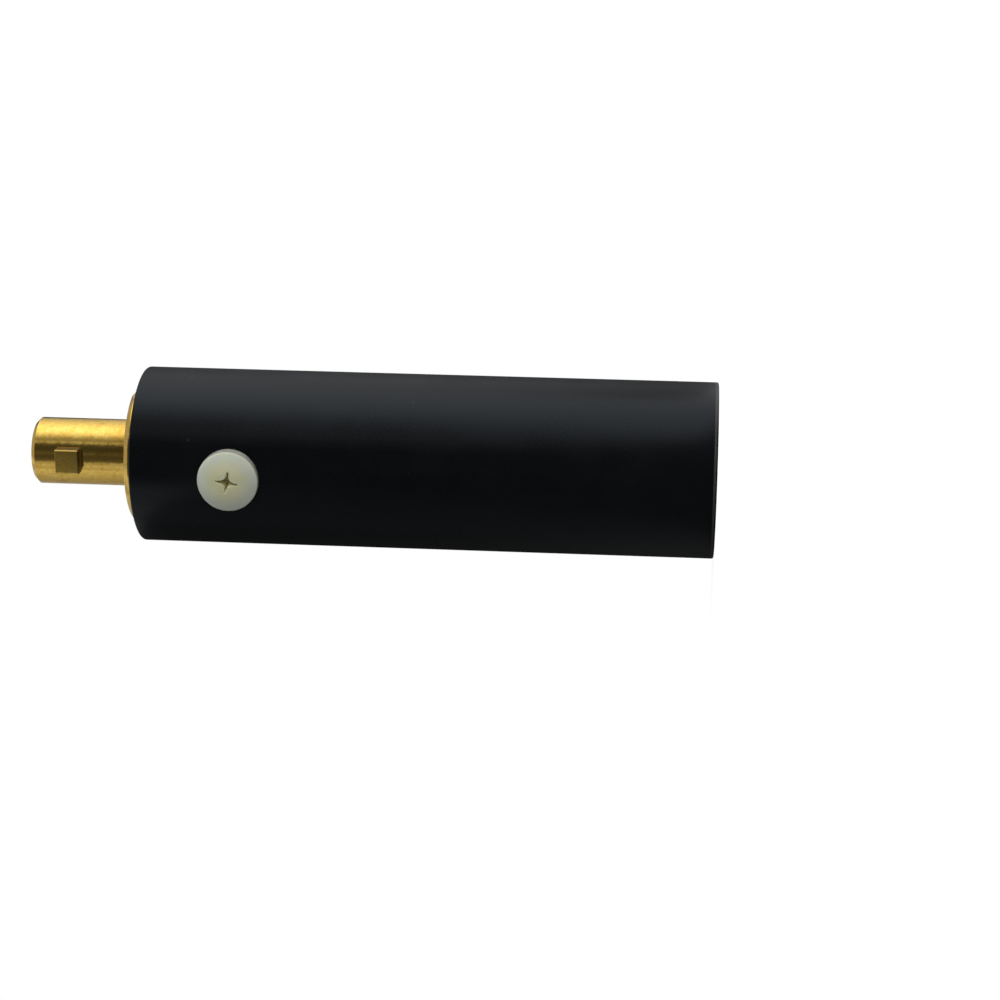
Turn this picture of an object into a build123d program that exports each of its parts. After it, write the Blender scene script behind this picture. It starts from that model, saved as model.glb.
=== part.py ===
from build123d import *
from math import radians, sin, tan
import os

# Welding cable adapter, standing on its sleeve's open end. All sizes in millimetres.
# Z is the adapter's axis: the plug pin points up to +Z, the sleeve's open end is at the bottom.
# The origin is the centre of the brass shoulder face, where the pin leaves the body.
# Key and screw look to -Y. The wrench flats look to +X and -X.

# Plug pin, 13 mm keyed twist-lock type
PIN_D = 13.0
PIN_LENGTH = 20.0
PIN_TIP_CHAMFER = 0.8
KEY_LENGTH = 4.5
KEY_WIDTH = 4.8
KEY_HEIGHT = 2.0
KEY_FROM_TIP = 5.4
KEY_EDGE = 0.35

# Turned brass body
BODY_D = 28.0
BODY_LENGTH = 49.0
SHOULDER_CHAMFER = 0.9
MOUTH_LAND = 0.85
MOUTH_CHAMFER_DEPTH = 1.0

# Two wrench flats next to the shoulder
FLATS_ACROSS = 25.0
FLATS_LENGTH = 15.0

# Threaded socket in the body's other end, 7/8 inch by 14 turns per inch
THREAD_MINOR_D = 20.5
THREAD_MAJOR_D = 22.2
THREAD_LENGTH = 17.5
COUNTERSINK_EXTRA = 0.2
RELIEF_LENGTH = 2.5
DRILL_POINT_ANGLE = 118.0

# Insulating sleeve
SLEEVE_WALL = 2.9
SLEEVE_FIT = 0.1
SLEEVE_LENGTH = 111.0
SHOULDER_STANDOUT = 1.8
SLEEVE_EDGE_ROUND = 0.4
SLEEVE_BORE_CHAMFER = 0.6

# Pan head screw that holds the sleeve on the body
SCREW_FROM_SHOULDER = 21.0
SCREW_D = 6.0
SCREW_CLEARANCE = 0.3
THREAD_PLAY = 0.05
SCREW_BITE = 6.8
TAP_EXTRA_DEPTH = 0.8
HEAD_D = 11.6
HEAD_WALL = 2.2
HEAD_DOME = 1.2
SPOT_FACE_MARGIN = 0.2

# Cross recess in the screw head
RECESS_SPAN = 4.5
RECESS_WING_TIP = 0.5
RECESS_WAIST = 1.75
RECESS_DEPTH = 2.2
RECESS_FLOOR_SHARE = 0.4
RECESS_TURN = 9.0

# Sizes that follow from the ones above
PIN_R = PIN_D / 2
BODY_R = BODY_D / 2
SLEEVE_BORE_R = BODY_R + SLEEVE_FIT
SLEEVE_R = SLEEVE_BORE_R + SLEEVE_WALL
COUNTERSINK_R = THREAD_MAJOR_D / 2 + COUNTERSINK_EXTRA
HEAD_R = HEAD_D / 2
SPOT_FACE_R = HEAD_R + SPOT_FACE_MARGIN
# the spot face just cleans up: its floor meets the round sleeve at the head's sides
SEAT_R = (SLEEVE_R**2 - SPOT_FACE_R**2) ** 0.5


def rod(radius, z_low, z_high):
    """A solid cylinder on the axis between two heights."""
    blank = Cylinder(radius, z_high - z_low, align=(Align.CENTER, Align.CENTER, Align.MIN))
    return Pos(0, 0, z_low) * blank


def cone(radius_low, radius_high, z_low, z_high):
    """A solid cone on the axis between two heights."""
    blank = Cone(
        radius_low,
        radius_high,
        z_high - z_low,
        align=(Align.CENTER, Align.CENTER, Align.MIN),
    )
    return Pos(0, 0, z_low) * blank


def post(radius, r_inner, r_outer, z):
    """A solid cylinder that stands radially, towards the key's side."""
    blank = Cylinder(radius, r_outer - r_inner, align=(Align.CENTER, Align.CENTER, Align.MIN))
    return Pos(0, -r_inner, z) * Rot(X=90) * blank


# Pin: plain rod with a chamfered nose
def plug_pin():
    nose = cone(PIN_R, PIN_R - PIN_TIP_CHAMFER, PIN_LENGTH - PIN_TIP_CHAMFER, PIN_LENGTH)
    return rod(PIN_R, 0, PIN_LENGTH - PIN_TIP_CHAMFER) + nose


# Key: square lug with a flat back, its outer edges eased
def pin_key():
    key_r = PIN_R + KEY_HEIGHT
    z_high = PIN_LENGTH - KEY_FROM_TIP
    z_low = z_high - KEY_LENGTH
    block = Pos(0, 0, z_low) * Box(
        KEY_WIDTH,
        key_r,
        KEY_LENGTH,
        align=(Align.CENTER, Align.MAX, Align.MIN),
    )
    outer = [e for e in block.edges() if e.center().Y < -PIN_R - KEY_HEIGHT / 2]
    return chamfer(outer, KEY_EDGE)


# Body: turned blank, two wrench flats, chamfered shoulder and mouth
def body_blank():
    shoulder = cone(BODY_R, BODY_R - SHOULDER_CHAMFER, -SHOULDER_CHAMFER, 0)
    barrel = rod(BODY_R, -BODY_LENGTH + MOUTH_CHAMFER_DEPTH, -SHOULDER_CHAMFER)
    land_r = COUNTERSINK_R + MOUTH_LAND
    mouth = cone(land_r, BODY_R, -BODY_LENGTH, -BODY_LENGTH + MOUTH_CHAMFER_DEPTH)
    return shoulder + barrel + mouth


def wrench_cut(turn):
    """The metal milled off one side, as a slab outside the flat."""
    slab = Box(
        BODY_D,
        BODY_D,
        FLATS_LENGTH * 2,
        align=(Align.MIN, Align.CENTER, Align.CENTER),
    )
    return Rot(Z=turn) * Pos(FLATS_ACROSS / 2, 0, 0) * slab


# Socket: countersink, thread at its minor diameter, relief groove, drill point
def socket_cut():
    minor_r = THREAD_MINOR_D / 2
    sink_top = -BODY_LENGTH + COUNTERSINK_R - minor_r
    thread_top = -BODY_LENGTH + THREAD_LENGTH
    relief_top = thread_top + RELIEF_LENGTH
    point_height = minor_r / tan(radians(DRILL_POINT_ANGLE / 2))
    sink = cone(COUNTERSINK_R, minor_r, -BODY_LENGTH, sink_top)
    bore = rod(minor_r, sink_top, relief_top)
    relief = rod(COUNTERSINK_R, thread_top, relief_top)
    point = cone(minor_r, 0, relief_top, relief_top + point_height)
    return sink + bore + relief + point


def tapped_hole():
    hole_r = SCREW_D / 2 + THREAD_PLAY
    bottom_r = BODY_R - SCREW_BITE - TAP_EXTRA_DEPTH
    return post(hole_r, bottom_r, BODY_R + 1, -SCREW_FROM_SHOULDER)


def brass_adapter():
    body = body_blank() - wrench_cut(0) - wrench_cut(180)
    solid = body + plug_pin() + pin_key()
    return solid - socket_cut() - tapped_hole()


# Sleeve: plain tube with rounded ends, one clearance hole with a spot face
def insulating_sleeve():
    z_high = -SHOULDER_STANDOUT
    z_low = z_high - SLEEVE_LENGTH
    blank = rod(SLEEVE_R, z_low, z_high)
    tube = fillet(blank.edges().filter_by(GeomType.CIRCLE), SLEEVE_EDGE_ROUND)
    wide_r = SLEEVE_BORE_R + SLEEVE_BORE_CHAMFER
    tube -= rod(SLEEVE_BORE_R, z_low, z_high)
    tube -= cone(wide_r, SLEEVE_BORE_R, z_low, z_low + SLEEVE_BORE_CHAMFER)
    tube -= cone(SLEEVE_BORE_R, wide_r, z_high - SLEEVE_BORE_CHAMFER, z_high)
    hole_r = SCREW_D / 2 + SCREW_CLEARANCE
    tube -= post(hole_r, BODY_R / 2, SLEEVE_R + 1, -SCREW_FROM_SHOULDER)
    tube -= post(SPOT_FACE_R, SEAT_R, SLEEVE_R + 1, -SCREW_FROM_SHOULDER)
    return tube


# Screw: shank, straight-sided head with a domed face, cross recess
def recess_outline(scale):
    """Four pointed wings with hollow flanks, as a flat face at the given scale."""
    tip_r = RECESS_SPAN / 2 * scale
    tip_w = RECESS_WING_TIP / 2 * scale
    waist = RECESS_WAIST / 2 * scale * sin(radians(45))
    edges = []
    for turn in range(4):
        flank = ThreePointArc((tip_r, tip_w), (waist, waist), (tip_w, tip_r))
        cap = Line((tip_w, tip_r), (-tip_w, tip_r))
        edges.append(Rot(Z=90 * turn) * flank)
        edges.append(Rot(Z=90 * turn) * cap)
    return make_face(edges)


def head_recess(top_r):
    above = HEAD_DOME / 2
    grow = 1 + (1 - RECESS_FLOOR_SHARE) * above / RECESS_DEPTH
    top = Pos(0, 0, above) * recess_outline(grow)
    floor = Pos(0, 0, -RECESS_DEPTH) * recess_outline(RECESS_FLOOR_SHARE)
    star = loft([floor, top])
    return Pos(0, -top_r, -SCREW_FROM_SHOULDER) * Rot(X=90) * Rot(Z=-RECESS_TURN) * star


def screw_head():
    dome_r = (HEAD_R**2 + HEAD_DOME**2) / (2 * HEAD_DOME)
    top_r = SEAT_R + HEAD_WALL + HEAD_DOME
    drum = post(HEAD_R, SEAT_R, top_r, -SCREW_FROM_SHOULDER)
    ball = Pos(0, -(top_r - dome_r), -SCREW_FROM_SHOULDER) * Sphere(dome_r)
    return (drum & ball) - head_recess(top_r)


def sleeve_screw():
    shank = post(SCREW_D / 2, BODY_R - SCREW_BITE, SEAT_R, -SCREW_FROM_SHOULDER)
    return shank + screw_head()


os.makedirs("parts", exist_ok=True)
export_step(brass_adapter(), "parts/brass_adapter.step")
export_step(insulating_sleeve(), "parts/insulating_sleeve.step")
export_step(sleeve_screw(), "parts/sleeve_screw.step")
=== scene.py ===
import bpy
import bmesh
import math
from mathutils import Matrix, Vector


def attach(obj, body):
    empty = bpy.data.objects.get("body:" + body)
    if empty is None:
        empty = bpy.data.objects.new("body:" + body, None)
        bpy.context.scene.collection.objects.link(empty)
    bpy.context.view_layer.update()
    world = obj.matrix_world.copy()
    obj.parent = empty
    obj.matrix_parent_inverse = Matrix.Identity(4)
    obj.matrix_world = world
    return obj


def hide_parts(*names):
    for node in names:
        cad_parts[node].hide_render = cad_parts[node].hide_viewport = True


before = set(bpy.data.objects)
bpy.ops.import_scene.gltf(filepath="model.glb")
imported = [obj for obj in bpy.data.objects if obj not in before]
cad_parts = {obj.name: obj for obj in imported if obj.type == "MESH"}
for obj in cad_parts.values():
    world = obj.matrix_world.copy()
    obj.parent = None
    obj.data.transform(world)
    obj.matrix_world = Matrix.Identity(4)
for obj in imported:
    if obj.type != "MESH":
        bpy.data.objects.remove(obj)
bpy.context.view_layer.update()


# ---------------------------------------------------------------------------
# Brass adapter: plug pin, key, body and threaded socket in one piece.
# Turned from solid brass bar on a lathe, flats and key milled, socket and the
# side hole drilled and tapped. Bright, with fine tool marks and a little tarnish.

# sizes are in millimetres, which MM turns into the scene's metres
MM = 0.001
PIN_R = 6.5
PIN_LENGTH = 20.0
PIN_NOSE = 0.8
BODY_R = 14.0
BODY_LENGTH = 49.0
SHOULDER_CHAMFER = 0.9
MOUTH_LAND = 0.85
MOUTH_CHAMFER = 1.0
FLATS_ACROSS = 25.0
FLATS_LENGTH = 15.0
KEY_WIDTH = 4.8
KEY_HEIGHT = 2.0
KEY_LOW, KEY_HIGH = 10.1, 14.6
KEY_LONG_EDGE = 0.4
KEY_END_EDGE = 0.12
KEY_ROOT = 1.5
THREAD_PITCH = 25.4 / 14
THREAD_MINOR_R = 10.25
THREAD_MAJOR_R = 11.1
THREAD_LENGTH = 17.5
THREAD_ROWS_PER_TURN = 16
COUNTERSINK_R = 11.3
RELIEF_LENGTH = 2.5
DRILL_POINT_ANGLE = 118.0
SIDE_HOLE_R = 3.05
SIDE_HOLE_BOTTOM = 6.4
SCREW_DOWN = 21.0
TURNED_STEPS = 128
SHARP_FROM_DEGREES = 24
TOOL_MARKS_PER_MM = 3.6

BRASS_BRIGHT = (0.91, 0.60, 0.12, 1)
BRASS_PALE = (0.97, 0.78, 0.32, 1)
BRASS_TARNISH = (0.66, 0.37, 0.06, 1)
BRASS_PAINTED_SHADE = (0.05, 0.024, 0.004, 1)


def eased(corners, steps=4):
    """An outline's points, with each corner (radius, height, ease) rounded by its ease."""
    points = []
    for i, (r, z, ease) in enumerate(corners):
        here = Vector((r, z))
        if not ease or i in (0, len(corners) - 1):
            points.append(here)
            continue
        back = (Vector(corners[i - 1][:2]) - here).normalized()
        on = (Vector(corners[i + 1][:2]) - here).normalized()
        half = back.angle(on) / 2
        centre = here + (back + on).normalized() * (ease / math.sin(half))
        reach = ease / math.tan(half)
        start, end = here + back * reach - centre, here + on * reach - centre
        sweep = start.angle_signed(end)
        for k in range(steps + 1):
            points.append(centre + Matrix.Rotation(-sweep * k / steps, 2) @ start)
    return points


def turned(mesh_name, runs, steps):
    """A turned skin: each run of (radius, height) points goes once round the axis."""
    bm = bmesh.new()
    for points in runs:
        rings = []
        for r, z in points:
            count = steps if r > 1e-6 else 1
            ring = []
            for k in range(count):
                a = 2 * math.pi * k / steps
                place = (r * math.cos(a) * MM, r * math.sin(a) * MM, z * MM)
                ring.append(bm.verts.new(place))
            rings.append(ring)
        for low, high in zip(rings, rings[1:]):
            for k in range(steps):
                around = [low[k % len(low)], low[(k + 1) % steps % len(low)]]
                around += [high[(k + 1) % steps % len(high)], high[k % len(high)]]
                bm.faces.new(list(dict.fromkeys(around)))
    bmesh.ops.remove_doubles(bm, verts=bm.verts, dist=1e-7)
    mesh = bpy.data.meshes.new(mesh_name)
    bm.to_mesh(mesh)
    bm.free()
    return mesh


def placed(name, mesh):
    """Puts a mesh into the scene, at the origin."""
    piece = bpy.data.objects.new(name, mesh)
    bpy.context.scene.collection.objects.link(piece)
    return piece


def faces_out(mesh):
    """Merges what touches and turns every face outwards."""
    bm = bmesh.new()
    bm.from_mesh(mesh)
    bmesh.ops.remove_doubles(bm, verts=bm.verts, dist=2e-7)
    bmesh.ops.recalc_face_normals(bm, faces=bm.faces)
    bm.to_mesh(mesh)
    bm.free()


def settled(piece):
    """Turns a piece with modifiers into its plain mesh and drops the modifiers."""
    seen = piece.evaluated_get(bpy.context.evaluated_depsgraph_get())
    mesh = bpy.data.meshes.new_from_object(seen)
    piece.modifiers.clear()
    piece.data = mesh


def machined(piece, tool, way):
    """Cuts a tool's shape from a piece (DIFFERENCE), or joins it on (UNION)."""
    faces_out(tool)
    cutter = placed("tool", tool)
    step = piece.modifiers.new("machining", "BOOLEAN")
    step.operation = way
    step.solver = "EXACT"
    step.object = cutter
    settled(piece)
    faces_out(piece.data)
    bpy.data.objects.remove(cutter)


def crisp(mesh):
    """Smooth round faces, sharp machined edges."""
    mesh.shade_smooth()
    mesh.set_sharp_from_angle(angle=math.radians(SHARP_FROM_DEGREES))


def block(corner_low, corner_high):
    """A plain block between two corners, as a tool."""
    bm = bmesh.new()
    bmesh.ops.create_cube(bm, size=1)
    low, high = Vector(corner_low) * MM, Vector(corner_high) * MM
    for v in bm.verts:
        v.co = Vector(l + (c + 0.5) * (h - l) for l, h, c in zip(low, high, v.co))
    mesh = bpy.data.meshes.new("block")
    bm.to_mesh(mesh)
    bm.free()
    return mesh


def key_lug():
    """The key: a flat-backed lug with rounded outer edges, rooted in the pin."""

    def rounded(edge, drop):
        """How far a side has come in where its rounded edge has this far to rise."""
        return edge - math.sqrt(edge**2 - (edge - drop) ** 2) if drop < edge else 0.0

    drops = [KEY_LONG_EDGE * (1 - math.sin(math.radians(9 * k))) for k in range(11)]
    levels = [(0.0, 0.0, PIN_R - KEY_ROOT)]
    for drop in drops:
        height = PIN_R + KEY_HEIGHT - drop
        levels.append((rounded(KEY_LONG_EDGE, drop), rounded(KEY_END_EDGE, drop), height))
    bm = bmesh.new()
    rings = []
    for side, end, height in levels:
        half, low, high = KEY_WIDTH / 2 - side, KEY_LOW + end, KEY_HIGH - end
        corners = ((-half, low), (half, low), (half, high), (-half, high))
        rings.append([bm.verts.new((x * MM, -height * MM, z * MM)) for x, z in corners])
    for lower, upper in zip(rings, rings[1:]):
        for k in range(4):
            n = (k + 1) % 4
            bm.faces.new((lower[k], lower[n], upper[n], upper[k]))
    bm.faces.new(rings[0])
    bm.faces.new(rings[-1])
    mesh = bpy.data.meshes.new("key_lug")
    bm.to_mesh(mesh)
    bm.free()
    return mesh


def cross_rod(radius, inner, outer, down, steps=64):
    """A rod that points to the key's side, as a tool for side holes."""
    rod = turned("rod", [[(0, inner), (radius, inner), (radius, outer), (0, outer)]], steps)
    to_place = Matrix.Translation((0, 0, -down * MM))
    rod.transform(to_place @ Matrix.Rotation(math.radians(90), 4, "X"))
    return rod


class Wire:
    """One socket of a node tree. Sums on wires add Math nodes, add() adds any other node."""

    def __init__(self, tree, socket=None):
        self.tree = tree
        self.socket = socket

    def add(self, kind, settings=None, values=None, out=0):
        node = self.tree.nodes.new(kind)
        for name, setting in (settings or {}).items():
            if name == "stops":
                ramp = node.color_ramp.elements
                while len(ramp) < len(setting):
                    ramp.new(1.0)
                for stop, (place, colour) in zip(ramp, setting):
                    stop.position, stop.color = place, colour
            else:
                setattr(node, name, setting)
        for key, value in (values or {}).items():
            if isinstance(value, Wire):
                self.tree.links.new(value.socket, node.inputs[key])
            else:
                node.inputs[key].default_value = value
        return Wire(self.tree, node.outputs[out] if len(node.outputs) else None)

    def tap(self, out):
        """Another output of the node that this wire comes from."""
        return Wire(self.tree, self.socket.node.outputs[out])

    def sum(self, operation, *terms):
        """One Math node on the given terms."""
        return self.add("ShaderNodeMath", {"operation": operation}, dict(enumerate(terms)))

    def __add__(self, other):
        return self.sum("ADD", self, other)

    def __radd__(self, other):
        return self.sum("ADD", other, self)

    def __sub__(self, other):
        return self.sum("SUBTRACT", self, other)

    def __rsub__(self, other):
        return self.sum("SUBTRACT", other, self)

    def __mul__(self, other):
        return self.sum("MULTIPLY", self, other)

    def __rmul__(self, other):
        return self.sum("MULTIPLY", other, self)

    def __truediv__(self, other):
        return self.sum("DIVIDE", self, other)

    def __rtruediv__(self, other):
        return self.sum("DIVIDE", other, self)

    def __neg__(self):
        return self.sum("MULTIPLY", self, -1.0)

    def __abs__(self):
        return self.sum("ABSOLUTE", self)

    def at_least(self, low):
        return self.sum("MAXIMUM", self, low)

    def at_most(self, high):
        return self.sum("MINIMUM", self, high)

    def held(self):
        """Kept between 0 and 1."""
        return self.add("ShaderNodeClamp", None, {"Value": self, "Min": 0.0, "Max": 1.0})

    def spread(self, low, high, to_low=0.0, to_high=1.0):
        """Smoothly from to_low to to_high while this goes from low to high."""
        values = {"Value": self, "From Min": low, "From Max": high}
        values.update({"To Min": to_low, "To Max": to_high})
        return self.add("ShaderNodeMapRange", {"interpolation_type": "SMOOTHSTEP"}, values)

    def tint(self, first, second):
        """The first colour where this is 0, the second where it is 1."""
        values = {"Factor": self, 6: first, 7: second}
        return self.add("ShaderNodeMix", {"data_type": "RGBA"}, values, out=2)


def finish(name):
    """A new material, ready for its nodes."""
    material = bpy.data.materials.new(name)
    material.use_nodes = True
    material.node_tree.nodes.clear()
    return material, Wire(material.node_tree)


def surface(wire, shader, output="ShaderNodeOutputMaterial"):
    """Ends a material, or the world, in its shader."""
    wire.add(output, None, {"Surface": shader})


def noise(wire, place, scale, detail, rough):
    values = {"Vector": place, "Scale": scale, "Detail": detail, "Roughness": rough}
    return wire.add("ShaderNodeTexNoise", None, values)


def turned_brass():
    """Bright brass with lathe marks, blotches of tarnish, and painted shade: the key's flanks and
    back are painted dull dark brown.
    """
    material, wire = finish("turned_brass")
    place = wire.add("ShaderNodeTexCoord", out="Object")
    split = wire.add("ShaderNodeSeparateXYZ", None, {"Vector": place})
    x, y, z = split, split.tap("Y"), split.tap("Z")
    radius = wire.sum("SQRT", x * x + y * y)
    blotch = noise(wire, place, scale=260, detail=4, rough=0.62)
    cloud = noise(wire, place, scale=90, detail=3, rough=0.5)
    speck = noise(wire, place, scale=1500, detail=2, rough=0.6)
    feed = (z + radius) * (TOOL_MARKS_PER_MM / MM)
    feed_values = {"W": feed, "Scale": 1.0, "Detail": 2.0}
    marks = wire.add("ShaderNodeTexNoise", {"noise_dimensions": "1D"}, feed_values)
    tarnish = blotch.spread(0.46, 0.66) * 0.45 + cloud.spread(0.5, 0.7) * 0.2
    tarnish = (tarnish + speck.spread(0.50, 0.70) * 0.36).held()
    pale = (marks.spread(0.45, 0.75) * 0.2 + speck.spread(0.50, 0.30) * 0.4).held()
    colour = tarnish.tint(pale.tint(BRASS_BRIGHT, BRASS_PALE), BRASS_TARNISH)
    # painted shade: the key's flanks and its flat back, found by their place on the pin, are
    # painted dull dark brown and made less metallic
    key_back = -(PIN_R + KEY_HEIGHT) * MM
    off_pin = radius.spread((PIN_R + 0.05) * MM, (PIN_R + 0.18) * MM)
    off_body = z.spread(0.5 * MM, 1.0 * MM)
    low_end = z.spread((KEY_LOW + 0.14) * MM, (KEY_LOW + 0.08) * MM)
    side = y.spread(key_back + 0.12 * MM, key_back + 0.35 * MM) * 0.8
    side = side + y.spread(key_back + 0.03 * MM, key_back + 0.12 * MM) * 0.2
    flank = (side + low_end).held() * off_pin * off_body
    back = y.spread(key_back + 0.08 * MM, key_back + 0.02 * MM) * off_body
    colour = (flank + back * 0.2).held().tint(colour, BRASS_PAINTED_SHADE)
    rough = 0.085 + blotch.spread(0.35, 0.7) * 0.08 + speck.spread(0.4, 0.7) * 0.07
    rough = rough + flank * 0.25 + back * 0.16
    height = marks * 0.3 + blotch * 2.2 + speck * 0.8
    relief = {"Strength": 0.35, "Distance": 0.06 * MM, "Height": height}
    bump = wire.add("ShaderNodeBump", None, relief)
    shader = wire.add(
        "ShaderNodeBsdfPrincipled",
        None,
        {"Base Color": colour, "Metallic": 1 - flank * 0.7, "Roughness": rough, "Normal": bump},
    )
    surface(wire, shader)
    return material


def thread_tree():
    """Geometry Nodes: winds the socket's thread and welds it into the turned body."""
    tree = bpy.data.node_groups.new("socket_thread", "GeometryNodeTree")
    sockets = {}
    for name, kind in (
        ("Body", "NodeSocketGeometry"),
        ("Pitch", "NodeSocketFloat"),
        ("Thread length", "NodeSocketFloat"),
        ("Minor radius", "NodeSocketFloat"),
        ("Major radius", "NodeSocketFloat"),
        ("Countersink radius", "NodeSocketFloat"),
        ("Mouth height", "NodeSocketFloat"),
        ("Steps round", "NodeSocketInt"),
        ("Rows", "NodeSocketInt"),
        ("Rows per turn", "NodeSocketInt"),
        ("Brass", "NodeSocketMaterial"),
    ):
        sockets[name] = tree.interface.new_socket(name=name, in_out="INPUT", socket_type=kind)
    tree.interface.new_socket(
        name="Threaded body", in_out="OUTPUT", socket_type="NodeSocketGeometry"
    )
    wire = Wire(tree)
    given = wire.add("NodeGroupInput")
    pitch, length = given.tap("Pitch"), given.tap("Thread length")
    minor, major = given.tap("Minor radius"), given.tap("Major radius")
    sink = given.tap("Countersink radius")
    rows = given.tap("Rows")
    # a flat sheet, wound up once round for each turn of the thread
    columns = given.tap("Steps round") + 1
    sheet = {"Size X": 1.0, "Size Y": 1.0, "Vertices X": columns, "Vertices Y": rows + 1}
    grid = wire.add("GeometryNodeMeshGrid", None, sheet)
    spot = wire.add("GeometryNodeInputPosition")
    split = wire.add("ShaderNodeSeparateXYZ", None, {"Vector": spot})
    share_round = split + 0.5
    row = (split.tap("Y") + 0.5) * rows
    turn = row / given.tap("Rows per turn") - 1
    depth = (pitch * (turn + share_round)).at_least(0.0).at_most(length)
    phase = wire.sum("FRACT", depth / pitch - share_round)
    # the profile is flat for a quarter of the pitch at its crest, an eighth at its root
    off_crest = abs(phase - 0.5) * 2
    crest_share, root_share = 0.25, 0.125
    ridge = ((1 - root_share - off_crest) / (1 - root_share - crest_share)).held()
    r = (major - ridge * (major - minor)).at_least(sink - depth)
    last = wire.sum("GREATER_THAN", row, rows - 0.5)
    r = last * sink + (1 - last) * r
    angle = share_round * (2 * math.pi)
    wall = {"X": r * wire.sum("COSINE", angle), "Y": r * wire.sum("SINE", angle)}
    wall["Z"] = given.tap("Mouth height") + depth
    to_wall = wire.add("ShaderNodeCombineXYZ", None, wall)
    wound = wire.add("GeometryNodeSetPosition", None, {"Geometry": grid, "Position": to_wall})
    joined = wire.add("GeometryNodeJoinGeometry", None, {"Geometry": given.tap("Body")})
    tree.links.new(wound.socket, joined.socket.node.inputs["Geometry"])
    welded = wire.add("GeometryNodeMergeByDistance", None, {"Geometry": joined, "Distance": 2e-6})
    real = wire.add("GeometryNodeRealizeInstances", None, {"Geometry": welded})
    skin = {"Geometry": real, "Material": given.tap("Brass")}
    done = wire.add("GeometryNodeSetMaterial", None, skin)
    wire.add("NodeGroupOutput", None, {"Threaded body": done})
    return tree, {name: item.identifier for name, item in sockets.items()}


def brass_adapter():
    """The turned blank with its thread, then the milled flats, the key and the side hole."""
    mouth = -BODY_LENGTH
    relief_low = mouth + THREAD_LENGTH
    relief_high = relief_low + RELIEF_LENGTH
    point = relief_high + THREAD_MINOR_R / math.tan(math.radians(DRILL_POINT_ANGLE / 2))
    outside = eased(
        [
            (0, PIN_LENGTH, 0),
            (PIN_R - PIN_NOSE, PIN_LENGTH, 0.12),
            (PIN_R, PIN_LENGTH - PIN_NOSE, 0.12),
            (PIN_R, 0, 0.0),
            (BODY_R - SHOULDER_CHAMFER, 0, 0.08),
            (BODY_R, -SHOULDER_CHAMFER, 0.15),
            (BODY_R, mouth + MOUTH_CHAMFER, 0.1),
            (COUNTERSINK_R + MOUTH_LAND, mouth, 0.08),
            (COUNTERSINK_R, mouth, 0),
        ]
    )
    inside = [
        (COUNTERSINK_R, relief_low),
        (COUNTERSINK_R, relief_high),
        (THREAD_MINOR_R, relief_high),
        (0, point),
    ]
    blank = turned("brass_adapter", [outside, inside], TURNED_STEPS)
    piece = placed("brass_adapter_turned", blank)
    tree, ids = thread_tree()
    turns = THREAD_LENGTH / THREAD_PITCH + 1
    winding = piece.modifiers.new("socket thread", "NODES")
    winding.node_group = tree
    brass = turned_brass()
    for name, size in (
        ("Pitch", THREAD_PITCH * MM),
        ("Thread length", THREAD_LENGTH * MM),
        ("Minor radius", THREAD_MINOR_R * MM),
        ("Major radius", THREAD_MAJOR_R * MM),
        ("Countersink radius", COUNTERSINK_R * MM),
        ("Mouth height", mouth * MM),
        ("Steps round", TURNED_STEPS),
        ("Rows", math.ceil(turns * THREAD_ROWS_PER_TURN) + 1),
        ("Rows per turn", THREAD_ROWS_PER_TURN),
        ("Brass", brass),
    ):
        winding[ids[name]] = size
    settled(piece)
    faces_out(piece.data)
    far = BODY_R + 2
    flat = FLATS_ACROSS / 2
    machined(piece, block((flat, -far, -FLATS_LENGTH), (far, far, 1)), "DIFFERENCE")
    machined(piece, block((-far, -far, -FLATS_LENGTH), (-flat, far, 1)), "DIFFERENCE")
    machined(piece, key_lug(), "UNION")
    side_hole = cross_rod(SIDE_HOLE_R, SIDE_HOLE_BOTTOM, far, SCREW_DOWN)
    machined(piece, side_hole, "DIFFERENCE")
    piece.data.materials.clear()
    piece.data.materials.append(brass)
    crisp(piece.data)
    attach(piece, "root")
    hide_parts("brass_adapter")


brass_adapter()


# ---------------------------------------------------------------------------
# Insulating sleeve: a plain thick tube of black plastic, cut to length, with
# rounded ends, a clearance hole and a shallow spot face for the screw. It slides
# over the body and the screw holds it. Satin, with a faint grain.

SLEEVE_R = 17.0
SLEEVE_BORE_R = 14.1
SLEEVE_HIGH = -1.8
SLEEVE_LENGTH = 111.0
SLEEVE_ROUND = 0.4
BORE_CHAMFER = 0.6
CLEARANCE_R = 3.3
SPOT_FACE_R = 6.0
SEAT_R = math.sqrt(SLEEVE_R**2 - SPOT_FACE_R**2)
SLEEVE_STEPS = 192
SPOT_FACE_STEPS = 96

SLEEVE_BLACK = (0.0030, 0.0033, 0.0034, 1)
SLEEVE_WORN = (0.0053, 0.0058, 0.0062, 1)
SLEEVE_END_SHEEN_AND_WEAR = (0.060, 0.060, 0.054, 1)
SLEEVE_DUST = (0.09, 0.09, 0.085, 1)


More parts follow.
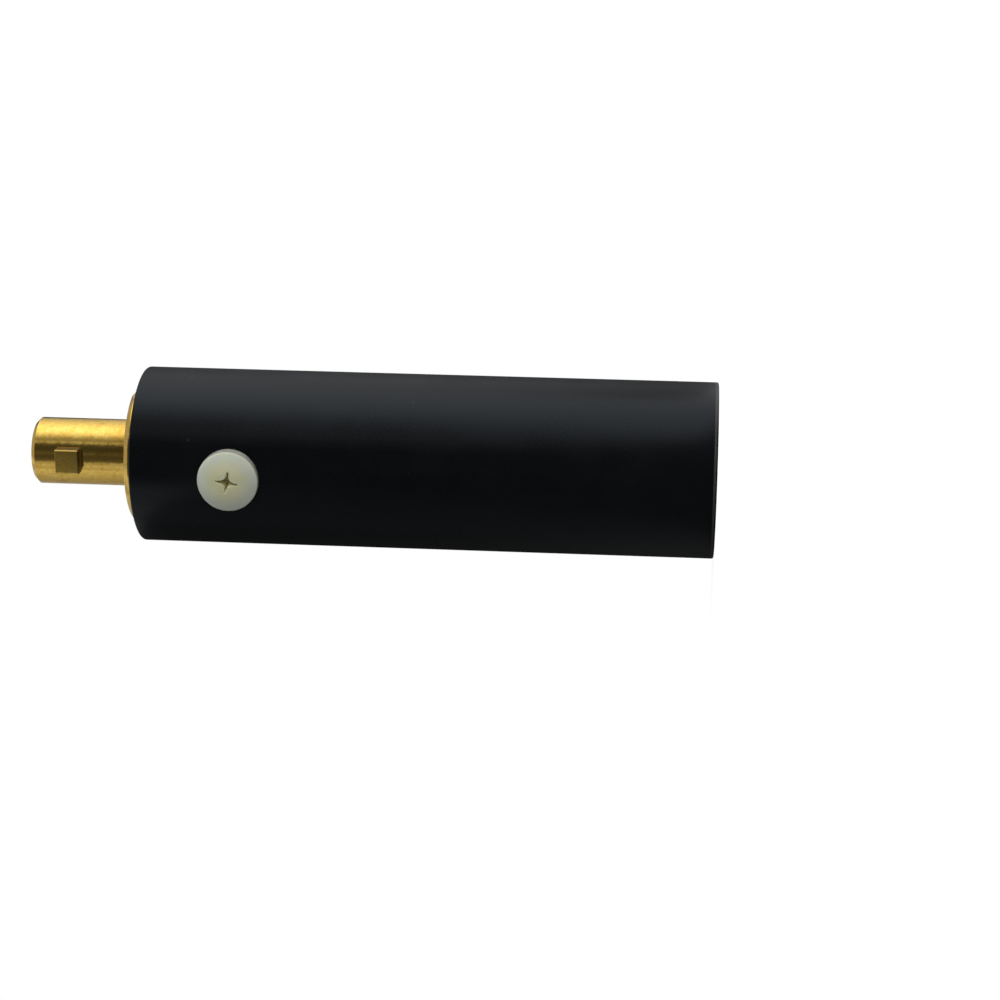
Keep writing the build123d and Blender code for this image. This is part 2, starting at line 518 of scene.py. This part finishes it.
def satin_black():
    """Black plastic, faintly drawn along its length, with a pale band near its open end that is
    partly rub wear and partly a painted highlight, and a few dust specks.
    """
    material, wire = finish("satin_black_plastic")
    place = wire.add("ShaderNodeTexCoord", out="Object")
    grain = noise(wire, place, scale=2600, detail=3, rough=0.6)
    cloud = noise(wire, place, scale=120, detail=4, rough=0.55)
    drawn_out = {"Vector": place, "Scale": (1.0, 1.0, 0.03)}
    streak_place = wire.add("ShaderNodeMapping", None, drawn_out)
    streak = noise(wire, streak_place, scale=900, detail=3, rough=0.6)
    colour = (cloud.spread(0.4, 0.75) * 0.6).tint(SLEEVE_BLACK, SLEEVE_WORN)
    split = wire.add("ShaderNodeSeparateXYZ", None, {"Vector": place})
    # a pale band about 0.2 to 0.8 mm from the open end, on its rounded edge: partly rub wear,
    # partly a painted highlight
    from_end = split.tap("Z") - (SLEEVE_HIGH - SLEEVE_LENGTH) * MM
    edge = from_end.spread(0.18 * MM, 0.30 * MM) * from_end.spread(0.76 * MM, 0.60 * MM)
    colour = (edge * (0.7 + streak * 0.5)).held().tint(colour, SLEEVE_END_SHEEN_AND_WEAR)
    cell = wire.add("ShaderNodeTexVoronoi", None, {"Vector": place, "Scale": 420.0})
    draw = wire.add("ShaderNodeSeparateColor", None, {"Color": cell.tap("Color")})
    dust = cell.spread(0.11, 0.04) * draw.spread(0.95, 0.96)
    colour = (dust * 0.35).tint(colour, SLEEVE_DUST)
    rough = 0.22 + grain * 0.05 + cloud.spread(0.3, 0.7) * 0.04 + streak * 0.03 + edge * 0.15
    facing = wire.add("ShaderNodeLayerWeight", None, {"Blend": 0.5}, out="Facing")
    rough = rough + facing.spread(0.30, 0.85) * 0.32
    relief = {"Strength": 0.25, "Distance": 0.04 * MM, "Height": grain + streak * 0.5}
    bump = wire.add("ShaderNodeBump", None, relief)
    shader = wire.add(
        "ShaderNodeBsdfPrincipled",
        None,
        {
            "Base Color": colour,
            "Roughness": rough,
            "Normal": bump,
            "Specular IOR Level": 0.28,
            "Specular Tint": (0.76, 0.86, 1.0, 1),
        },
    )
    surface(wire, shader)
    return material


def insulating_sleeve():
    """The tube, then the screw's clearance hole and spot face."""
    low = SLEEVE_HIGH - SLEEVE_LENGTH
    wide = SLEEVE_BORE_R + BORE_CHAMFER
    outline = eased(
        [
            (wide, low, 0),
            (SLEEVE_R, low, SLEEVE_ROUND),
            (SLEEVE_R, SLEEVE_HIGH, SLEEVE_ROUND),
            (wide, SLEEVE_HIGH, 0),
        ],
        steps=8,
    )
    outline += [
        Vector((SLEEVE_BORE_R, SLEEVE_HIGH - BORE_CHAMFER)),
        Vector((SLEEVE_BORE_R, low + BORE_CHAMFER)),
        Vector((wide, low)),
    ]
    tube = turned("insulating_sleeve", [outline], SLEEVE_STEPS)
    piece = placed("insulating_sleeve_tube", tube)
    faces_out(piece.data)
    far = SLEEVE_R + 1
    hole = cross_rod(CLEARANCE_R, BODY_R / 2, far, SCREW_DOWN)
    spot_face = cross_rod(SPOT_FACE_R, SEAT_R, far, SCREW_DOWN, SPOT_FACE_STEPS)
    machined(piece, hole, "DIFFERENCE")
    machined(piece, spot_face, "DIFFERENCE")
    piece.data.materials.clear()
    piece.data.materials.append(satin_black())
    crisp(piece.data)
    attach(piece, "root")
    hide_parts("insulating_sleeve")


insulating_sleeve()


# ---------------------------------------------------------------------------
# Sleeve screw: pan head screw of natural nylon, moulded in one piece with its
# cross recess. It goes through the sleeve's wall into the brass body, and its
# head seats on the spot face. Off-white, slightly translucent.

HEAD_R = 5.8
HEAD_WALL = 2.2
HEAD_DOME = 1.2
HEAD_EASE = 0.25
HEAD_SEAT_EASE = 0.1
DOME_STEPS = 14
SHANK_R = 3.0
SHANK_BOTTOM = 7.2
SHANK_CHAMFER = 0.4
RECESS_SPAN = 4.5
RECESS_WING_TIP = 0.5
RECESS_WAIST = 1.75
RECESS_DEPTH = 2.2
RECESS_FLOOR_SHARE = 0.4
RECESS_TURN = 9.0
RECESS_FLANK_STEPS = 8
HEAD_STEPS = 96

NYLON = (0.69, 0.69, 0.45, 1)
NYLON_CLOUDY = (0.74, 0.74, 0.54, 1)
NYLON_PALE_RIM_AND_SHEEN = (0.66, 0.70, 0.61, 1)
NYLON_SIDE_SHADE = (0.36, 0.35, 0.30, 1)
NYLON_RECESS_SHADE = (0.74, 0.69, 0.39, 1)


def natural_nylon(dome_centre, dome_r):
    """Cloudy off-white nylon, greyer to the rim partly as painted sheen, with painted shade on
    the head's side wall and a painted yellow shade deep in the recess.
    """
    material, wire = finish("natural_nylon")
    place = wire.add("ShaderNodeTexCoord", out="Object")
    cloud = noise(wire, place, scale=380, detail=3, rough=0.5)
    skin = noise(wire, place, scale=1800, detail=2, rough=0.5)
    off = wire.add("ShaderNodeVectorMath", {"operation": "SUBTRACT"}, {0: place, 1: dome_centre})
    reach = wire.add("ShaderNodeVectorMath", {"operation": "LENGTH"}, {0: off}, out="Value")
    sunk = reach.spread(dome_r - 1.2 * MM, dome_r - 0.1 * MM, 1.0, 0.0)
    side = wire.add("ShaderNodeSeparateXYZ", None, {"Vector": off})
    # the distance from the screw's axis, squared, so these bounds are in square millimetres
    off_axis = side * side + side.tap("Z") * side.tap("Z")
    square = MM**2
    near_axis = off_axis.spread(10 * square, 6 * square)
    plain = cloud.spread(0.35, 0.7).tint(NYLON, NYLON_CLOUDY)
    # paler and bluer towards the rim: partly painted sheen, partly the thinner nylon's paler tone
    plain = off_axis.spread(4 * square, 28 * square).tint(plain, NYLON_PALE_RIM_AND_SHEEN)
    # painted shade: the head's side wall is painted a darker grey
    plain = off_axis.spread(31.9 * square, 33.3 * square).tint(plain, NYLON_SIDE_SHADE)
    # painted shade: deep in the recess the nylon is painted a stronger yellow
    colour = (sunk * near_axis).tint(plain, NYLON_RECESS_SHADE)
    rough = 0.36 + skin * 0.10
    relief = {"Strength": 0.2, "Distance": 0.04 * MM, "Height": skin + cloud}
    bump = wire.add("ShaderNodeBump", None, relief)
    shader = wire.add(
        "ShaderNodeBsdfPrincipled",
        None,
        {
            "Base Color": colour,
            "Roughness": rough,
            "Normal": bump,
            "Subsurface Weight": 0.8,
            "Subsurface Radius": (1.0, 0.9, 0.5),
            "Subsurface Scale": 0.0015,
        },
    )
    surface(wire, shader)
    return material


def wing_outline(scale, height):
    """Four pointed wings with hollow flanks, once round, at one height."""
    tip_r = RECESS_SPAN / 2 * scale
    tip_w = RECESS_WING_TIP / 2 * scale
    waist = RECESS_WAIST / 2 * scale * math.sin(math.radians(45))
    hollow = 2 * waist - (tip_r + tip_w) / 2
    points = []
    for turn in range(4):
        quarter = Matrix.Rotation(math.radians(90 * turn), 2)
        for k in range(RECESS_FLANK_STEPS + 1):
            t = k / RECESS_FLANK_STEPS
            flank = Vector((tip_r, tip_w)) * (1 - t) ** 2
            flank += Vector((hollow, hollow)) * (2 * t * (1 - t))
            flank += Vector((tip_w, tip_r)) * t**2
            spot = quarter @ flank
            points.append((spot.x * MM, spot.y * MM, height * MM))
    return points


def recess_tool():
    """The cross recess as a tool: it tapers from above the dome down to its floor."""
    above = HEAD_DOME / 2
    grow = 1 + (1 - RECESS_FLOOR_SHARE) * above / RECESS_DEPTH
    bm = bmesh.new()
    rings = []
    for scale, height in ((RECESS_FLOOR_SHARE, -RECESS_DEPTH), (grow, above)):
        rings.append([bm.verts.new(spot) for spot in wing_outline(scale, height)])
    count = len(rings[0])
    for k in range(count):
        n = (k + 1) % count
        bm.faces.new((rings[0][k], rings[0][n], rings[1][n], rings[1][k]))
    bm.faces.new(rings[0])
    bm.faces.new(rings[1])
    mesh = bpy.data.meshes.new("recess")
    bm.to_mesh(mesh)
    bm.free()
    return mesh


def sleeve_screw():
    """The shank and the domed head in one, with the recess, laid towards the key's side."""
    dome_r = (HEAD_R**2 + HEAD_DOME**2) / (2 * HEAD_DOME)
    top = SEAT_R + HEAD_WALL + HEAD_DOME
    rim = math.asin((HEAD_R - HEAD_EASE * 0.6) / dome_r)
    dome = []
    for k in range(DOME_STEPS, -1, -1):
        lean = rim * k / DOME_STEPS
        dome.append((dome_r * math.sin(lean), top - dome_r + dome_r * math.cos(lean)))
    side = eased(
        [
            (0, SHANK_BOTTOM, 0),
            (SHANK_R - SHANK_CHAMFER, SHANK_BOTTOM, 0),
            (SHANK_R, SHANK_BOTTOM + SHANK_CHAMFER, 0),
            (SHANK_R, SEAT_R, 0),
            (HEAD_R, SEAT_R, HEAD_SEAT_EASE),
            (HEAD_R, SEAT_R + HEAD_WALL, HEAD_EASE),
            dome[1] + (0,),
        ]
    )
    outline = side + [Vector(p) for p in dome[2:]]
    piece = placed("sleeve_screw_moulded", turned("sleeve_screw", [outline], HEAD_STEPS))
    faces_out(piece.data)
    recess = recess_tool()
    to_top = Matrix.Translation((0, 0, top * MM))
    recess.transform(to_top @ Matrix.Rotation(math.radians(-RECESS_TURN), 4, "Z"))
    machined(piece, recess, "DIFFERENCE")
    to_place = Matrix.Translation((0, 0, -SCREW_DOWN * MM))
    piece.data.transform(to_place @ Matrix.Rotation(math.radians(90), 4, "X"))
    piece.data.materials.clear()
    centre = (0, -(top - dome_r) * MM, -SCREW_DOWN * MM)
    piece.data.materials.append(natural_nylon(centre, dome_r * MM))
    crisp(piece.data)
    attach(piece, "root")
    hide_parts("sleeve_screw")


sleeve_screw()


# ---------------------------------------------------------------------------
# Floor: one plain pale paper sheet that the sleeve's open end stands on. It is
# white to the camera and keeps the object's shadow. Seen in the brass and the
# plastic it glows, strongly on the part's lit side and faintly on the other.

FLOOR_HEIGHT = SLEEVE_HIGH - SLEEVE_LENGTH
FLOOR_REACH = 6.0
FLOOR_WHITE = (0.62, 0.62, 0.62, 1)
FLOOR_FIBRE = (0.58, 0.58, 0.58, 1)
FLOOR_SHADE_IN_MIRRORS = (0.2, 0.2, 0.2, 1)
CAMERA_GLOW = 0.84
LIT_SIDE = (0.995, -0.105, 0.0)
LIT_GLOW = 1.2
FAINT_GLOW = 0.03
OTHER_SIDE_GLOW = 0.09


def white_sheet():
    material, wire = finish("white_sheet")
    place = wire.add("ShaderNodeTexCoord", out="Object")
    fibre = noise(wire, place, scale=60, detail=3, rough=0.6)
    path = wire.add("ShaderNodeLightPath")
    mirrored = path.tap("Is Glossy Ray") + path.tap("Is Transmission Ray")
    flat = {0: place, 1: (1.0, 1.0, 0.0)}
    level = wire.add("ShaderNodeVectorMath", {"operation": "MULTIPLY"}, flat)
    way = wire.add("ShaderNodeVectorMath", {"operation": "NORMALIZE"}, {0: level})
    sides = {0: way, 1: LIT_SIDE}
    towards = wire.add("ShaderNodeVectorMath", {"operation": "DOT_PRODUCT"}, sides, out="Value")
    shown = towards.spread(0.72, 0.98, FAINT_GLOW, LIT_GLOW)
    shown = shown + towards.spread(-0.50, -0.85) * OTHER_SIDE_GLOW
    glow_level = path.tap("Is Camera Ray") * CAMERA_GLOW + mirrored * shown
    # seen in mirrors the paper is a darker grey: painted shade in the floor's reflection
    sheet = mirrored.tint(fibre.tint(FLOOR_FIBRE, FLOOR_WHITE), FLOOR_SHADE_IN_MIRRORS)
    paper = wire.add("ShaderNodeBsdfDiffuse", None, {"Color": sheet})
    glow = wire.add("ShaderNodeEmission", None, {"Color": (1, 1, 1, 1), "Strength": glow_level})
    shader = wire.add("ShaderNodeAddShader", None, {0: paper, 1: glow})
    surface(wire, shader)
    return material


def floor():
    bm = bmesh.new()
    half = FLOOR_REACH
    corners = ((-half, -half), (half, -half), (half, half), (-half, half))
    bm.faces.new([bm.verts.new((x, y, FLOOR_HEIGHT * MM)) for x, y in corners])
    mesh = bpy.data.meshes.new("floor")
    bm.to_mesh(mesh)
    bm.free()
    mesh.materials.append(white_sheet())
    placed("floor", mesh)


floor()


# ---------------------------------------------------------------------------
# Studio: a white background for the camera, and a soft light tent for all else.
# Round the part's axis the tent is bright on the picture's upper side and behind,
# and dim towards the camera and on the picture's lower side.

UP_SIDE = Vector((0.9613, -0.2756, 0.0))
FAR_SIDE = Vector((0.2756, 0.9613, 0.0))
OVER_LEVEL = (0.40, 0.40, 0.40, 1)
UNDER_LEVEL = (0.12, 0.12, 0.12, 1)
# degrees round the axis, from the camera's side towards the upper side, and the level there
TENT = (
    (-180, 0.28),
    (-165, 0.05),
    (-140, 0.01),
    (-110, 0.02),
    (-85, 0.055),
    (-62, 0.15),
    (-30, 0.18),
    (-12, 0.12),
    (4, 0.065),
    (14, 0.060),
    (22, 0.105),
    (30, 0.055),
    (40, 0.045),
    (50, 0.065),
    (54, 0.11),
    (57.5, 0.33),
    (61, 0.53),
    (64.5, 0.30),
    (70, 0.25),
    (76, 0.39),
    (80, 0.52),
    (84, 0.70),
    (90, 0.97),
    (98, 1.30),
    (106, 1.48),
    (118, 1.50),
    (136, 1.14),
    (150, 0.88),
    (163, 0.67),
    (180, 0.36),
)


def studio():
    """The world: white to the camera, and in metal straight behind the part, else the tent."""
    world = bpy.data.worlds.new("light_tent")
    bpy.context.scene.world = world
    world.use_nodes = True
    world.node_tree.nodes.clear()
    wire = Wire(world.node_tree)
    way = wire.add("ShaderNodeTexCoord", out="Generated")

    def along(side):
        values = {0: way, 1: side}
        return wire.add("ShaderNodeVectorMath", {"operation": "DOT_PRODUCT"}, values, out="Value")

    turn = wire.sum("ARCTAN2", along(UP_SIDE), -along(FAR_SIDE))
    stops = [((e + 180) / 360, (v, v, v, 1)) for e, v in TENT]
    share = turn / (2 * math.pi) + 0.5
    tent = wire.add("ShaderNodeValToRGB", {"stops": stops}, {"Fac": share})
    lift = along((0.0, 0.0, 1.0))
    over = lift.spread(0.45, 0.75) * along(UP_SIDE).spread(-0.72, -0.22)
    level = over.tint(tent, OVER_LEVEL)
    level = lift.spread(-0.55, -0.95).tint(level, UNDER_LEVEL)
    path = wire.add("ShaderNodeLightPath")
    behind = along(FAR_SIDE).spread(0.955, 0.995) * along(UP_SIDE).spread(-0.10, 0.0)
    mirror = (path.tap("Is Glossy Ray") + path.tap("Is Transmission Ray")) * behind
    white = (path.tap("Is Camera Ray") + mirror).held()
    colour = white.tint(level, (1, 1, 1, 1))
    shader = wire.add("ShaderNodeBackground", None, {"Color": colour, "Strength": 1.0})
    surface(wire, shader, "ShaderNodeOutputWorld")


def softbox(name, place, aim, width, height, power):
    """A rectangular lamp at a place, turned to another; the camera doesn't see it."""
    lamp = bpy.data.lights.new(name, "AREA")
    lamp.shape = "RECTANGLE"
    lamp.size, lamp.size_y = width, height
    lamp.energy = power
    body = bpy.data.objects.new(name, lamp)
    bpy.context.scene.collection.objects.link(body)
    body.location = place
    body.rotation_mode = "QUATERNION"
    body.rotation_quaternion = (Vector(aim) - Vector(place)).to_track_quat("-Z", "Y")
    body.visible_camera = False
    return body


studio()

# Three pale cards, one over the other, beside the pin on the picture's lower side.
# They reach from a little behind the pin to these distances before it.
CARD_REACHES = (0.050, 0.085, 0.160)
CARD_BEHIND = 0.03
CARD_BELOW = 0.019
CARD_HIGH = 0.074
CARD_MIDDLE = 0.038
CARD_LEVEL = 0.262
for number, reach in enumerate(CARD_REACHES):
    card_place = -CARD_BELOW * UP_SIDE - FAR_SIDE * (reach - CARD_BEHIND) / 2
    card_place.z = CARD_MIDDLE
    card_wide = reach + CARD_BEHIND
    card_power = CARD_LEVEL * math.pi * card_wide * CARD_HIGH
    card_aim = card_place + UP_SIDE
    softbox(f"table_card_{number}", card_place, card_aim, card_wide, CARD_HIGH, card_power)

# A soft lamp on the upper side, for matt surfaces only: the tent is what metal shows.
LAMP_HEIGHT = -0.02
LAMP_PLACE = UP_SIDE * 0.59 - FAR_SIDE * 0.10 + Vector((0, 0, LAMP_HEIGHT))
LAMP_WIDE, LAMP_HIGH, LAMP_POWER = 0.4, 0.3, 2.3
upper_lamp = softbox(
    "upper_softbox", LAMP_PLACE, (0, 0, LAMP_HEIGHT), LAMP_WIDE, LAMP_HIGH, LAMP_POWER
)
upper_lamp.visible_glossy = False


# ---------------------------------------------------------------------------
# Camera: at the photograph's viewing angle. The picture shows the part on its
# side, so the camera is rolled that far.

RIGHT = Vector((0.009341, 0.080388, -0.99672))
UP = Vector((0.958241, 0.284178, 0.0319))
BACK = Vector((0.285812, -0.955396, -0.07438))
CAMERA_PLACE = (0.120391, -0.426852, -0.104345)
FOCAL_LENGTH = 82.505
SENSOR_WIDTH = 36.0
lens = bpy.data.cameras.new("camera")
lens.sensor_width = SENSOR_WIDTH
lens.lens = FOCAL_LENGTH
lens.clip_start = 0.01
camera = bpy.data.objects.new("camera", lens)
bpy.context.scene.collection.objects.link(camera)
view_turn = Matrix((RIGHT, UP, BACK)).transposed().to_4x4()
camera.matrix_world = Matrix.Translation(CAMERA_PLACE) @ view_turn
bpy.context.scene.camera = camera
bpy.context.scene.view_settings.view_transform = "Standard"
